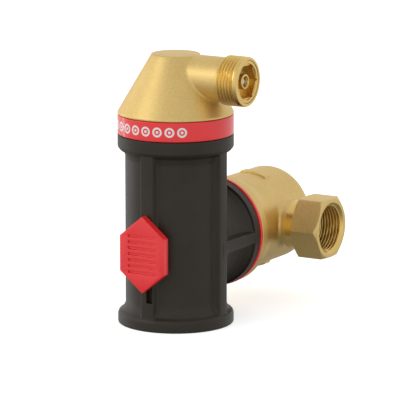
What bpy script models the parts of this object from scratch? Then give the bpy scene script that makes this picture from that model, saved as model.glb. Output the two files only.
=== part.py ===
"""Automatic air vent with a swivelling pipe tee: a black ribbed housing, a conical brass vent cap
with a threaded side outlet, and a brass tee that the housing turns on.

The origin is where the pipe's centreline meets the swivel axis, inside the tee. +X runs along the
pipe to the right-hand port, +Y from the housing to the back of the tee, +Z up. All the lengths
below are millimetres, and the meshes are made in metres.
"""

import math

import bmesh
import bpy
from mathutils import Vector

MM = 0.001
GAP = 0.3
MERGE = 0.00001
QUARTER = math.pi / 2

# Housing, upright, with its axis in front of the pipe
HOUSING_Y = -77.2
BASE_Z = -41.9
HOUSING_TOP = 101.5
FLANGE_R = 30.7
BASE_R = 30.8
BODY_R = 26.35
BODY_BORE_R = 23.0
FLOOR_THICKNESS = 4.0
COLLAR_R = 26.6
COLLAR_TOP = 111.7
NECK_BORE_R = 25.0
NECK_SEAT = 93.0
RIB_R = 29.6
RIB_LAND = 4.2
RIB_FOOT = 6.6
BARREL_R = 24.0
BARREL_RIB_WIDTH = 2.8
RIM_R = 29.5
RIM_FRONT = 33.6
RIM_BACK = 38.9
WATERWAY_R = 17.5
SLOT_WIDTH = 3.7
SLOT_BOTTOM = 15.2
SLOT_TOP = 46.0
SLOT_X = 1.5

# Swivel joint between the housing's spigot and the tee's socket
SPIGOT_R = 21.6
SPIGOT_END = 63.0
SOCKET_R = 22.0
SEAL_GROOVE_R = 19.7
SEAL_GROOVE_WIDTH = 2.6
SEAL_Y = (-26.5, -20.5)
SWIVEL_RING_R = 30.2
SWIVEL_RING_THICKNESS = 1.9
CLIP_WIRE_R = 0.8
CLIP_Y = -31.5

# Brass tee
TEE_FLANGE_R = 29.8
DRUM_R = 25.8
DRUM_BACK = 24.8
CHAMBER_R = 18.0
CHAMBER_BACK = 20.6
PORT_HALF_SPAN = 51.8
NECK_R = 12.2
PIPE_COLLAR_R = 13.5
PIPE_COLLAR_START = 28.0
HEX_START = 35.7
HEX_FLATS = 32.0
PIPE_BORE_R = 10.0

# G 3/4 thread, shared by both ports and the vent outlet
THREAD_PITCH = 1.814
THREAD_MAJOR_R = 13.22
THREAD_MINOR_R = 12.06
PORT_THREAD_LENGTH = 13.0

# Red band and front clip
BAND_BOTTOM = 101.8
BAND_TOP = 112.1
PLATE_WIDTH = 27.0
PLATE_HEIGHT = 41.0
PLATE_THICKNESS = 4.5

# Vent cap
CAP_BOTTOM = 94.5
CAP_LIP = 112.4
CAP_CONE_START = 113.5
CAP_TOP = 144.0
CAP_TOP_R = 12.66
CAP_WALL = 3.25
CAP_NECK_R = 24.6
CAP_NECK_BORE_R = 21.5
CAP_SEAL_Z = 106.0
CAP_CLIP_Z = 98.4
OUTLET_Z = 132.3
OUTLET_NECK_R = 11.9
OUTLET_THREAD_START = 31.3
OUTLET_END = 43.8

# Valve in the outlet
INSERT_R = 11.3
INSERT_SHOULDER = 34.3
INSERT_FACE = 43.2
STEM_R = 6.7
SEAT_X = 10.0
SOCKET_FLATS = 17.0
SOCKET_FLOOR = 37.5
NOZZLE_R = 4.15
NOZZLE_FACE = 42.4
PIN_TRAVEL = 1.5

# Float and lever
PIVOT_X = 8.0
PIVOT_Z = 126.0
LEVER_ARM = 8.0
LEVER_SWING = 0.5
FLOAT_R = 13.4
FLOAT_BOTTOM = 94.2
FLOAT_TOP = 117.5
GUIDE_BORE_R = 14.2

# Separator
CORE_R = 6.0
DISC_R = 22.4
DISC_COUNT = 5
DISC_FIRST = 13.0
DISC_SPACING = 14.5
DISC_THICKNESS = 1.6

parts = None
cutters = None


def clear_scene():
    for obj in list(bpy.data.objects):
        bpy.data.objects.remove(obj)


def add_collection(name):
    made = bpy.data.collections.new(name)
    bpy.context.scene.collection.children.link(made)
    return made


def finish_material(name, colour, roughness, metallic):
    """A Principled material, its colour as linear RGB."""
    made = bpy.data.materials.new(name)
    made.use_nodes = True
    shader = made.node_tree.nodes["Principled BSDF"]
    shader.inputs["Base Color"].default_value = (*colour, 1.0)
    shader.inputs["Roughness"].default_value = roughness
    shader.inputs["Metallic"].default_value = metallic
    return made


def own_finish(obj, colour, roughness, metallic):
    obj.data.materials.append(finish_material(obj.name + "_finish", colour, roughness, metallic))


def cast_brass(obj):
    own_finish(obj, (0.66, 0.47, 0.19), 0.42, 1.0)


def black_plastic(obj):
    own_finish(obj, (0.035, 0.032, 0.028), 0.5, 0.0)


def red_plastic(obj):
    own_finish(obj, (0.72, 0.02, 0.03), 0.28, 0.0)


def pale_plastic(obj):
    own_finish(obj, (0.62, 0.62, 0.58), 0.45, 0.0)


def dark_rubber(obj):
    own_finish(obj, (0.02, 0.02, 0.02), 0.7, 0.0)


def bright_steel(obj):
    own_finish(obj, (0.62, 0.62, 0.6), 0.28, 1.0)


def place(obj, group, x=0.0, y=0.0, z=0.0, along="Z"):
    """Puts obj in group at a point in millimetres, with its own Z axis along X, Y or Z."""
    group.objects.link(obj)
    obj.location = Vector((x, y, z)) * MM
    obj.rotation_euler = {"X": (0, QUARTER, 0), "Y": (-QUARTER, 0, 0), "Z": (0, 0, 0)}[along]
    if group == cutters:
        obj.hide_render = True
        obj.display_type = "WIRE"
    return obj


def turned_object(name, profile, ring=False, steps=36):
    """Turns (radius, height) points about Z. A solid's profile starts and ends on the axis, and a
    ring's closes on itself. The order is set so that the outer side runs down."""
    ends = list(zip(profile, profile[1:] + profile[:1]))
    area = sum(a[0] * b[1] - b[0] * a[1] for a, b in ends)
    points = profile[::-1] if area > 0 else profile
    mesh = bpy.data.meshes.new(name)
    count = len(points)
    links = [(i, (i + 1) % count) for i in range(count if ring else count - 1)]
    mesh.from_pydata([(r * MM, 0, z * MM) for r, z in points], links, [])
    obj = bpy.data.objects.new(name, mesh)
    screw = obj.modifiers.new("turn", "SCREW")
    screw.axis = "Z"
    screw.steps = steps
    screw.render_steps = steps
    screw.use_merge_vertices = True
    screw.merge_threshold = MERGE
    return obj


def block_object(name, size, foot_scale=1.0):
    """A block centred on its origin. foot_scale widens its -Y side along X, for draft."""
    mesh = bpy.data.meshes.new(name)
    shape = bmesh.new()
    bmesh.ops.create_cube(shape, size=1.0)
    for vert in shape.verts:
        widen = foot_scale if vert.co.y < 0 else 1.0
        vert.co.x *= size[0] * MM * widen
        vert.co.y *= size[1] * MM
        vert.co.z *= size[2] * MM
    shape.to_mesh(mesh)
    shape.free()
    return bpy.data.objects.new(name, mesh)


def prism_object(name, sides, flats, length):
    """A prism along Z, flats across, with two corners on the Y axis."""
    mesh = bpy.data.meshes.new(name)
    shape = bmesh.new()
    corner = flats / 2 / math.cos(math.pi / sides) * MM
    bmesh.ops.create_cone(
        shape, cap_ends=True, segments=sides, radius1=corner, radius2=corner, depth=length * MM
    )
    shape.to_mesh(mesh)
    shape.free()
    return bpy.data.objects.new(name, mesh)


def rod_object(name, radius, length, steps=24):
    half = length / 2
    return turned_object(name, [(0, half), (radius, half), (radius, -half), (0, -half)], steps=steps)


def wire_object(name, path, radius, cyclic=False):
    """A round wire through points given in millimetres."""
    curve = bpy.data.curves.new(name, "CURVE")
    curve.dimensions = "3D"
    curve.bevel_depth = radius * MM
    curve.bevel_resolution = 2
    curve.use_fill_caps = True
    spline = curve.splines.new("POLY")
    spline.points.add(len(path) - 1)
    for point, place_mm in zip(spline.points, path):
        point.co = (*(Vector(place_mm) * MM), 1.0)
    spline.use_cyclic_u = cyclic
    return bpy.data.objects.new(name, curve)


def combine(target, tool, operation):
    step = target.modifiers.new(operation.lower(), "BOOLEAN")
    step.operation = operation
    step.object = tool
    return target


def join(target, tool):
    return combine(target, tool, "UNION")


def cut(target, tool):
    return combine(target, tool, "DIFFERENCE")


def arc(centre_r, centre_z, radius, start, end, steps):
    """Points of a round stretch of a profile, angles in degrees from outwards."""
    turns = [math.radians(start + (end - start) * i / steps) for i in range(steps + 1)]
    return [(centre_r + radius * math.cos(a), centre_z + radius * math.sin(a)) for a in turns]


def thread(top, bottom):
    """Crests and roots of the thread's flanks, from height top down to bottom."""
    count = int((top - bottom) / THREAD_PITCH)
    points = []
    for i in range(count):
        z = top - (i + 0.5) * THREAD_PITCH
        points += [(THREAD_MINOR_R, z + THREAD_PITCH / 2), (THREAD_MAJOR_R, z)]
    return points + [(THREAD_MINOR_R, top - count * THREAD_PITCH)]


def ring_profile(inner, outer, bottom, top):
    return [(inner, bottom), (inner, top), (outer, top), (outer, bottom)]


def seal(name, centre_r, section_r, group, **where):
    """A rubber ring of round section."""
    section = arc(centre_r, 0, section_r, 0, 315, 7)
    return place(turned_object(name, section, ring=True, steps=28), group, **where)


def snap_ring(name, centre_r, wire_r, **where):
    """A sprung wire ring with a gap between its ends."""
    opening = math.radians(14)
    steps = 28
    turns = [opening + (2 * math.pi - 2 * opening) * i / steps for i in range(steps + 1)]
    path = [(centre_r * math.cos(a), centre_r * math.sin(a), 0) for a in turns]
    return place(wire_object(name, path, wire_r), parts, **where)


def upright(height):
    """Row-frame z of a height above the housing's base."""
    return BASE_Z + height


def helper(obj, **where):
    return place(obj, cutters, **where)


# Housing ---------------------------------------------------------------------------------------


def housing_shell():
    flange = [(FLANGE_R, HOUSING_TOP), (FLANGE_R, 94.8), (29.2, 93.1), (27.6, 92.3)]
    shoulder = [(26.8, 90.7), (BODY_R, 89.1), (BODY_R, 10.8), (27.0, 8.9), (28.4, 7.5)]
    foot = [(30.1, 6.1), (BASE_R, 4.6), (BASE_R, 0.6), (30.2, 0), (0, 0)]
    collar = [(0, COLLAR_TOP), (COLLAR_R, COLLAR_TOP), (COLLAR_R, HOUSING_TOP)]
    return turned_object("housing", collar + flange + shoulder + foot, steps=48)


def housing_rib(angle):
    """A full-height rib, its sides drafted towards the body."""
    inner = BODY_R - 1.5
    depth = RIB_R - inner
    rib = block_object("rib", (RIB_LAND, depth, 92.0), RIB_FOOT / RIB_LAND)
    reach = (inner + RIB_R) / 2
    x = reach * math.sin(angle)
    y = HOUSING_Y - reach * math.cos(angle)
    helper(rib, x=x, y=y, z=upright(49.0))
    rib.rotation_euler = (0, 0, angle + math.pi)
    return rib


def barrel():
    """The arm that carries the housing's water to the swivel joint, with its spigot."""
    flare = [(27.2, RIM_FRONT), (26.0, 31.0), (24.9, 27.6), (BARREL_R, 23.5), (BARREL_R, 0), (0, 0)]
    rim = [(SPIGOT_R, RIM_BACK), (RIM_R - 0.6, RIM_BACK), (RIM_R, RIM_BACK - 0.6), (RIM_R, RIM_FRONT)]
    spigot = [(0, SPIGOT_END), (SPIGOT_R - 1.2, SPIGOT_END), (SPIGOT_R, SPIGOT_END - 1.6)]
    for y in sorted(SEAL_Y, reverse=True):
        middle = y - HOUSING_Y
        high, low = middle + SEAL_GROOVE_WIDTH / 2, middle - SEAL_GROOVE_WIDTH / 2
        spigot += [(SPIGOT_R, high), (SEAL_GROOVE_R, high), (SEAL_GROOVE_R, low), (SPIGOT_R, low)]
    middle = CLIP_Y - HOUSING_Y
    floor = SPIGOT_R + 0.2 - CLIP_WIRE_R - GAP
    high, low = middle + CLIP_WIRE_R + GAP, middle - CLIP_WIRE_R - GAP
    spigot += [(SPIGOT_R, high), (floor, high), (floor, low), (SPIGOT_R, low)]
    return turned_object("barrel", spigot + rim + flare, steps=48)


def barrel_rib(angle):
    """One of the four webs between the body and the rim."""
    start, end = 2.0, RIM_FRONT + 1.0
    inner, outer = BARREL_R - 4.0, RIM_R - 0.3
    web = block_object("web", (BARREL_RIB_WIDTH, outer - inner, end - start))
    reach = (inner + outer) / 2
    helper(
        web,
        x=reach * math.sin(angle),
        y=HOUSING_Y + (start + end) / 2,
        z=reach * math.cos(angle),
        along="Y",
    )
    web.rotation_euler = (-QUARTER, angle, 0)
    return web


def housing_bore():
    top = COLLAR_TOP + 5
    neck = [(0, top), (NECK_BORE_R, top)]
    clip_high, clip_low = CAP_CLIP_Z + 0.7 + GAP, CAP_CLIP_Z - 0.7 - GAP
    groove = [(NECK_BORE_R, clip_high), (25.8, clip_high), (25.8, clip_low), (NECK_BORE_R, clip_low)]
    well = [(NECK_BORE_R, NECK_SEAT), (BODY_BORE_R, NECK_SEAT)]
    floor = [(BODY_BORE_R, FLOOR_THICKNESS), (0, FLOOR_THICKNESS)]
    return turned_object("housing_bore", neck + groove + well + floor)


def waterway():
    return rod_object("waterway", WATERWAY_R, SPIGOT_END + 5, steps=48)


def build_housing(pivot):
    body = place(housing_shell(), parts, y=HOUSING_Y, z=BASE_Z)
    for angle in (0, QUARTER, -QUARTER, 2 * QUARTER):
        join(body, housing_rib(angle))
    join(body, helper(barrel(), y=HOUSING_Y, along="Y"))
    for angle in (0, QUARTER, 2 * QUARTER, 3 * QUARTER):
        join(body, barrel_rib(angle))
    cut(body, helper(housing_bore(), y=HOUSING_Y, z=BASE_Z))
    cut(body, helper(waterway(), y=HOUSING_Y + (SPIGOT_END + 5) / 2, along="Y"))
    slot = block_object("clip_slot", (SLOT_WIDTH, 6.0, SLOT_TOP - SLOT_BOTTOM))
    slot_y = HOUSING_Y - BODY_R - 3.2
    cut(body, helper(slot, x=SLOT_X, y=slot_y, z=upright((SLOT_TOP + SLOT_BOTTOM) / 2)))
    black_plastic(body)
    body.parent = pivot


def plate_outline(name, width, height, thickness):
    """An upright plate with pointed ends, centred on its origin and facing Z."""
    half_w, half_h = width / 2, height / 2
    shoulder = half_h * 0.46
    outline = [
        (0, half_h),
        (-half_w, shoulder),
        (-half_w, -shoulder),
        (0, -half_h),
        (half_w, -shoulder),
        (half_w, shoulder),
    ]
    curve = bpy.data.curves.new(name, "CURVE")
    curve.dimensions = "2D"
    curve.fill_mode = "BOTH"
    curve.extrude = thickness / 2 * MM
    spline = curve.splines.new("POLY")
    spline.points.add(len(outline) - 1)
    for point, (x, y) in zip(spline.points, outline):
        point.co = (x * MM, y * MM, 0, 1)
    spline.use_cyclic_u = True
    return bpy.data.objects.new(name, curve)


def solid_from_curve(obj):
    """The curve as a mesh object with its caps welded, for pieces that are cut or joined."""
    bpy.context.scene.collection.objects.link(obj)
    bpy.context.view_layer.update()
    graph = bpy.context.evaluated_depsgraph_get()
    mesh = bpy.data.meshes.new_from_object(obj.evaluated_get(graph))
    shape = bmesh.new()
    shape.from_mesh(mesh)
    bmesh.ops.remove_doubles(shape, verts=shape.verts, dist=MERGE)
    shape.to_mesh(mesh)
    shape.free()
    name = obj.name
    bpy.data.objects.remove(obj)
    mesh.name = name
    return bpy.data.objects.new(name, mesh)


def build_front_clip(pivot):
    """Grip plate with a tongue that snaps into the front rib's slot."""
    clip = solid_from_curve(plate_outline("front_clip", PLATE_WIDTH, PLATE_HEIGHT, PLATE_THICKNESS))
    face_y = HOUSING_Y - RIB_R - GAP - PLATE_THICKNESS / 2
    place(clip, parts, y=face_y, z=0.0)
    clip.rotation_euler = (QUARTER, 0, 0)
    bevel = clip.modifiers.new("edge", "BEVEL")
    bevel.width = 1.1 * MM
    bevel.segments = 1
    bevel.limit_method = "ANGLE"
    tongue_bottom = SLOT_BOTTOM + 11.0
    tongue_top = SLOT_TOP - 1.0
    tongue = block_object("tongue", (SLOT_WIDTH - 2 * GAP, 4.4, tongue_top - tongue_bottom))
    tongue_y = HOUSING_Y - RIB_R + 0.5
    join(clip, helper(tongue, x=SLOT_X, y=tongue_y, z=upright((tongue_top + tongue_bottom) / 2)))
    for i in range(-2, 3):
        groove = block_object("grip", (PLATE_WIDTH * 0.62, 2.0, 1.3))
        helper(groove, y=HOUSING_Y - RIB_R - GAP - PLATE_THICKNESS, z=i * 3.4)
        cut(clip, groove)
    red_plastic(clip)
    clip.parent = pivot


def build_trim_band(pivot):
    profile = ring_profile(COLLAR_R + GAP, FLANGE_R, BAND_BOTTOM, BAND_TOP)
    band = place(turned_object("trim_band", profile, ring=True, steps=48), parts, y=HOUSING_Y, z=BASE_Z)
    red_plastic(band)
    band.parent = pivot


# Swivel joint and tee ---------------------------------------------------------------------------


def build_swivel_seals(pivot):
    centre = (SEAL_GROOVE_R + SOCKET_R) / 2 - 0.05
    section = 0.95
    for name, y in zip(("swivel_seal_front", "swivel_seal_rear"), SEAL_Y):
        ring = seal(name, centre, section, parts, y=y, along="Y")
        dark_rubber(ring)
        ring.parent = pivot


def build_swivel_ring():
    front = HOUSING_Y + RIM_BACK + GAP
    profile = ring_profile(SOCKET_R, SWIVEL_RING_R, 0, SWIVEL_RING_THICKNESS)
    red_plastic(place(turned_object("swivel_ring", profile, ring=True, steps=48), parts, y=front, along="Y"))


def build_retaining_ring():
    bright_steel(snap_ring("retaining_ring", SPIGOT_R + 0.2, CLIP_WIRE_R, y=CLIP_Y, along="Y"))


def tee_drum():
    front = HOUSING_Y + RIM_BACK + GAP + SWIVEL_RING_THICKNESS + GAP
    back = [(0, DRUM_BACK)] + arc(DRUM_R - 3, DRUM_BACK - 3, 3, 90, 0, 3)
    flange = [(DRUM_R, -22.0), (26.6, -24.6), (28.4, -27.4), (TEE_FLANGE_R, -29.6)]
    return turned_object("tee_body", back + flange + [(TEE_FLANGE_R, front), (0, front)], steps=48)


def tee_pipe():
    """The straight run between the ports, without the hexagons."""
    half = [(NECK_R, PIPE_COLLAR_START - 1.5), (PIPE_COLLAR_R - 0.5, PIPE_COLLAR_START)]
    half += [(PIPE_COLLAR_R, PIPE_COLLAR_START + 0.8), (PIPE_COLLAR_R, HEX_START + 2)]
    ends = [(0, HEX_START + 2)]
    lower = [(r, -x) for r, x in half]
    return turned_object("tee_pipe", ends + half[::-1] + lower + [(0, -HEX_START - 2)], steps=36)


def tee_hexagon(side):
    """A wrench hexagon with turned corners."""
    length = PORT_HALF_SPAN - HEX_START
    middle = (PORT_HALF_SPAN + HEX_START) / 2
    half = length / 2
    corner = HEX_FLATS / math.sqrt(3)
    hexagon = prism_object("hexagon", 6, HEX_FLATS, length)
    helper(hexagon, x=side * middle, along="X")
    outer, inner = (half + 0.01, -half - 0.01) if side > 0 else (-half - 0.01, half + 0.01)
    sign = 1 if side > 0 else -1
    profile = [(0, outer), (corner - 2.4, outer), (corner + 0.4, outer - sign * 1.7)]
    profile += [(corner + 0.4, inner + sign * 1.2), (corner - 1.6, inner), (0, inner)]
    envelope = turned_object("hexagon_turning", profile, steps=36)
    helper(envelope, x=side * middle, along="X")
    return combine(hexagon, envelope, "INTERSECT")


def casting_pad(side):
    """Raised pad on the drum, above or below, as an arc of the drum's wall."""
    pad = turned_object("pad", ring_profile(DRUM_R - 2, DRUM_R + 0.9, -1.2, 4.6), ring=True, steps=48)
    helper(pad, along="Y")
    bounds = block_object("pad_bounds", (15.6, 20.0, 20.0))
    helper(bounds, x=3.2, y=1.7, z=side * DRUM_R)
    return combine(pad, bounds, "INTERSECT")


def tee_cavity():
    """Socket for the swivel spigot, its clip groove, and the chamber behind it."""
    front = -60.0
    clip_high, clip_low = CLIP_Y + CLIP_WIRE_R + GAP, CLIP_Y - CLIP_WIRE_R - GAP
    clip_r = SPIGOT_R + 0.2 + CLIP_WIRE_R + GAP
    groove = [(SOCKET_R, clip_high), (clip_r, clip_high), (clip_r, clip_low), (SOCKET_R, clip_low)]
    chamber = [(0, CHAMBER_BACK), (CHAMBER_R - 2, CHAMBER_BACK), (CHAMBER_R, CHAMBER_BACK - 2)]
    step = [(CHAMBER_R, -13.5), (SOCKET_R, -13.5)]
    return turned_object("tee_cavity", chamber + step + groove + [(SOCKET_R, front), (0, front)])


def port_bore():
    """Both threaded ports and the bore between them."""
    face = PORT_HALF_SPAN
    threaded = thread(face - 1.2, face - PORT_THREAD_LENGTH)
    mouth = [(THREAD_MAJOR_R + 1.8, face + 0.8), (THREAD_MAJOR_R + 0.3, face - 0.7)]
    half = mouth + threaded + [(PIPE_BORE_R, threaded[-1][1] - 1.5)]
    lower = [(r, -x) for r, x in half[::-1]]
    profile = [(0, face + 0.8)] + half + lower + [(0, -face - 0.8)]
    return turned_object("port_bore", profile, steps=24)


def build_tee():
    tee = place(tee_drum(), parts, along="Y")
    join(tee, helper(tee_pipe(), along="X"))
    for side in (1, -1):
        join(tee, tee_hexagon(side))
        join(tee, casting_pad(side))
    cut(tee, helper(tee_cavity(), along="Y"))
    cut(tee, helper(port_bore(), along="X"))
    cast_brass(tee)


def build_flow_guide():
    """Moulded insert in the tee: a return tube, a centring disc with windows, and a diverter."""
    tube = place(
        turned_object("flow_guide", ring_profile(7.0, 8.4, -50.0, -4.0), ring=True, steps=24),
        parts,
        along="Y",
    )
    disc = turned_object("guide_disc", ring_profile(7.6, CHAMBER_R - GAP, -13.0, -11.4), ring=True, steps=28)
    join(tube, helper(disc, along="Y"))
    for i in range(4):
        angle = math.radians(48 + 90 * i)
        window = rod_object("guide_window", 3.6, 6.0, steps=12)
        helper(window, x=12.8 * math.cos(angle), y=-12.2, z=12.8 * math.sin(angle), along="Y")
        cut(tube, window)
    vane = block_object("diverter", (1.6, 24.5, 24.0))
    join(tube, helper(vane, y=7.25))
    pale_plastic(tube)


# Separator in the housing -----------------------------------------------------------------------


def build_separator(pivot):
    top = DISC_FIRST + DISC_COUNT * DISC_SPACING
    profile = [(4.6, FLOOR_THICKNESS + GAP), (4.6, top), (CORE_R, top)]
    profile += [(CORE_R, FLOOR_THICKNESS + GAP + 1.6), (18.0, FLOOR_THICKNESS + GAP + 1.6)]
    profile += [(18.0, FLOOR_THICKNESS + GAP)]
    core = place(
        turned_object("separator_core", profile, ring=True, steps=24), parts, y=HOUSING_Y, z=BASE_Z
    )
    for i in range(DISC_COUNT):
        z = upright(DISC_FIRST + (i + 0.5) * DISC_SPACING)
        drill = rod_object("core_hole", 2.2, 3 * CORE_R, steps=12)
        cut(core, helper(drill, y=HOUSING_Y, z=z, along="X" if i % 2 else "Y"))
    pale_plastic(core)
    core.parent = pivot
    for i in range(DISC_COUNT):
        disc = separator_disc(f"separator_disc_{i + 1}", i * math.radians(15))
        place(disc, parts, y=HOUSING_Y, z=upright(DISC_FIRST + i * DISC_SPACING))
        pale_plastic(disc)
        disc.parent = pivot


def separator_disc(name, turn):
    """A flat disc with a hole for the core and eight slots for the flow."""
    curve = bpy.data.curves.new(name, "CURVE")
    curve.dimensions = "2D"
    curve.fill_mode = "BOTH"
    curve.extrude = DISC_THICKNESS / 2 * MM
    add_loop(curve, round_loop(DISC_R, 32))
    add_loop(curve, round_loop(CORE_R + GAP, 16))
    for i in range(8):
        add_loop(curve, slot_loop(10.0, 19.0, 1.7, turn + i * QUARTER / 2))
    return solid_from_curve(bpy.data.objects.new(name, curve))


def add_loop(curve, points):
    spline = curve.splines.new("POLY")
    spline.points.add(len(points) - 1)
    for point, (x, y) in zip(spline.points, points):
        point.co = (x * MM, y * MM, 0, 1)
    spline.use_cyclic_u = True


def round_loop(radius, steps):
    turns = [2 * math.pi * i / steps for i in range(steps)]
    return [(radius * math.cos(a), radius * math.sin(a)) for a in turns]


def slot_loop(start, end, half_width, angle):
    """A radial slot with round ends."""
    ends = [(start, math.radians(90 + 60 * i)) for i in range(4)]
    ends += [(end, math.radians(-90 + 60 * i)) for i in range(4)]
    points = [(r + half_width * math.cos(a), half_width * math.sin(a)) for r, a in ends]
    c, s = math.cos(angle), math.sin(angle)
    return [(x * c - y * s, x * s + y * c) for x, y in points]


# Vent cap and valve -----------------------------------------------------------------------------


def cap_cone_r(z):
    """Outer radius of the cap's cone at a height."""
    slope = (FLANGE_R - CAP_TOP_R) / (CAP_TOP - CAP_CONE_START)
    return FLANGE_R - slope * (z - CAP_CONE_START)


def cap_shell():
    top = [(0, CAP_TOP), (CAP_TOP_R - 1.0, CAP_TOP), (CAP_TOP_R + 0.1, CAP_TOP - 0.5)]
    cone = [(cap_cone_r(CAP_TOP - 1.8), CAP_TOP - 1.8), (FLANGE_R, CAP_CONE_START)]
    lip = [(FLANGE_R, CAP_LIP), (CAP_NECK_R, CAP_LIP)]
    seal_high, seal_low = CAP_SEAL_Z + 1.2, CAP_SEAL_Z - 1.2
    lip += [(CAP_NECK_R, seal_high), (22.9, seal_high), (22.9, seal_low), (CAP_NECK_R, seal_low)]
    clip_high, clip_low = CAP_CLIP_Z + 1.0, CAP_CLIP_Z - 1.0
    lip += [(CAP_NECK_R, clip_high), (23.8, clip_high), (23.8, clip_low), (CAP_NECK_R, clip_low)]
    neck = [(CAP_NECK_R, CAP_BOTTOM), (0, CAP_BOTTOM)]
    return turned_object("vent_cap", top + cone + lip + neck, steps=48)


def cap_hollow():
    narrow = 140.0
    wide = 123.5
    top = [(0, narrow + 0.8), (cap_cone_r(narrow) - CAP_WALL - 1.5, narrow + 0.8)]
    top += [(cap_cone_r(narrow) - CAP_WALL, narrow - 0.6), (CAP_NECK_BORE_R, wide)]
    return turned_object("cap_hollow", top + [(CAP_NECK_BORE_R, CAP_BOTTOM - 5), (0, CAP_BOTTOM - 5)])


def outlet_outside():
    end = [(0, OUTLET_END), (12.6, OUTLET_END), (13.0, OUTLET_END - 0.5), (13.0, OUTLET_END - 1.4)]
    threaded = thread(OUTLET_END - 1.5, OUTLET_THREAD_START)
    neck = [(OUTLET_NECK_R, OUTLET_THREAD_START - 0.3), (OUTLET_NECK_R, 4.0), (0, 4.0)]
    return turned_object("outlet", end + threaded + neck, steps=32)


def outlet_bore():
    step = INSERT_SHOULDER - GAP
    wide = INSERT_R + GAP
    end = [(0, OUTLET_END + 3), (wide, OUTLET_END + 3), (wide, step)]
    narrow = STEM_R + GAP
    return turned_object("outlet_bore", end + [(narrow, step), (narrow, 6.0), (0, 6.0)], steps=32)


def build_cap(turntable):
    cap = place(cap_shell(), parts, y=HOUSING_Y, z=BASE_Z)
    join(cap, helper(outlet_outside(), y=HOUSING_Y, z=upright(OUTLET_Z), along="X"))
    cut(cap, helper(cap_hollow(), y=HOUSING_Y, z=BASE_Z))
    cut(cap, helper(outlet_bore(), y=HOUSING_Y, z=upright(OUTLET_Z), along="X"))
    cast_brass(cap)
    cap_seal = seal("cap_seal", 23.95, 0.85, parts, y=HOUSING_Y, z=upright(CAP_SEAL_Z))
    dark_rubber(cap_seal)
    cap_clip = snap_ring("cap_clip", 24.8, 0.7, y=HOUSING_Y, z=upright(CAP_CLIP_Z))
    bright_steel(cap_clip)
    for obj in (cap, cap_seal, cap_clip):
        obj.parent = turntable


def build_valve_insert(turntable):
    """Screwed-in plug with a hexagonal socket, a central nozzle and the valve seat."""
    groove_high, groove_low = 28.0, 26.0
    head = [(0, INSERT_FACE), (INSERT_R - 0.7, INSERT_FACE), (INSERT_R, INSERT_FACE - 0.7)]
    head += [(INSERT_R, INSERT_SHOULDER), (STEM_R, INSERT_SHOULDER)]
    stem = [(STEM_R, groove_high), (5.1, groove_high), (5.1, groove_low), (STEM_R, groove_low)]
    seat = [(STEM_R, 12.9), (3.2, 12.9), (1.9, SEAT_X), (0, SEAT_X)]
    where = {"y": HOUSING_Y, "z": upright(OUTLET_Z), "along": "X"}
    insert = place(turned_object("valve_insert", head + stem + seat, steps=28), parts, **where)
    socket_length = INSERT_FACE + 3 - SOCKET_FLOOR
    hexagon = prism_object("socket", 6, SOCKET_FLATS, socket_length)
    helper(hexagon, x=SOCKET_FLOOR + socket_length / 2, y=HOUSING_Y, z=upright(OUTLET_Z), along="X")
    cut(insert, hexagon)
    nozzle = [(0, NOZZLE_FACE), (NOZZLE_R - 0.5, NOZZLE_FACE), (NOZZLE_R, NOZZLE_FACE - 0.5)]
    nozzle += [(NOZZLE_R, SOCKET_FLOOR - 1), (0, SOCKET_FLOOR - 1)]
    join(insert, helper(turned_object("nozzle", nozzle, steps=20), **where))
    passage = [(0, NOZZLE_FACE + 1), (3.2, NOZZLE_FACE + 1), (2.7, NOZZLE_FACE - 0.6), (2.7, 35.6)]
    passage += [(1.5, 35.6), (1.5, 12.5), (0.8, 12.0), (0.8, SEAT_X - 1), (0, SEAT_X - 1)]
    cut(insert, helper(turned_object("passage", passage, steps=20), **where))
    cast_brass(insert)
    gasket = seal("insert_seal", 6.03, 0.7, parts, x=27.0, y=HOUSING_Y, z=upright(OUTLET_Z), along="X")
    dark_rubber(gasket)
    for obj in (insert, gasket):
        obj.parent = turntable


def build_check_valve(turntable):
    """A light spring holds the pin's head out in the nozzle's mouth."""
    where = {"y": HOUSING_Y, "z": upright(OUTLET_Z), "along": "X"}
    pin_profile = [(0, 41.2), (1.2, 41.2), (2.1, 40.6), (2.1, 39.9), (1.1, 39.7), (1.1, 31.0), (0, 31.0)]
    pin = place(turned_object("check_pin", pin_profile, steps=20), parts, **where)
    bright_steel(pin)
    pin.parent = turntable
    low, high = 36.2, 39.3
    turns, per_turn = 4, 8
    path = []
    for i in range(turns * per_turn + 1):
        angle = 2 * math.pi * i / per_turn
        height = low + (high - low) * i / (turns * per_turn)
        path.append((1.95 * math.cos(angle), 1.95 * math.sin(angle), height))
    spring = place(wire_object("check_spring", path, 0.22), parts, **where)
    bright_steel(spring)
    spring.parent = turntable


def build_lever_bracket(turntable):
    """Stamped bracket on the seat boss, with two lugs for the lever's pin."""
    plate_x = 12.0
    plate = block_object("lever_bracket", (1.2, 11.6, 12.2))
    place(plate, parts, x=plate_x, y=HOUSING_Y, z=upright(129.3))
    for side in (1, -1):
        lug = block_object("lug", (7.0, 1.2, 4.8))
        helper(lug, x=plate_x + 0.6 - 3.5, y=HOUSING_Y + side * 5.2, z=upright(PIVOT_Z))
        join(plate, lug)
    boss = rod_object("boss_hole", 3.2 + GAP, 6.0, steps=24)
    cut(plate, helper(boss, x=plate_x, y=HOUSING_Y, z=upright(OUTLET_Z), along="X"))
    eye = rod_object("pin_hole", 0.9 + GAP, 16.0, steps=16)
    cut(plate, helper(eye, x=PIVOT_X, y=HOUSING_Y, z=upright(PIVOT_Z), along="Y"))
    bright_steel(plate)
    pin = place(
        rod_object("lever_pin", 0.9, 13.0, steps=16),
        parts,
        x=PIVOT_X,
        y=HOUSING_Y,
        z=upright(PIVOT_Z),
        along="Y",
    )
    bright_steel(pin)
    for obj in (plate, pin):
        obj.parent = turntable


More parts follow.
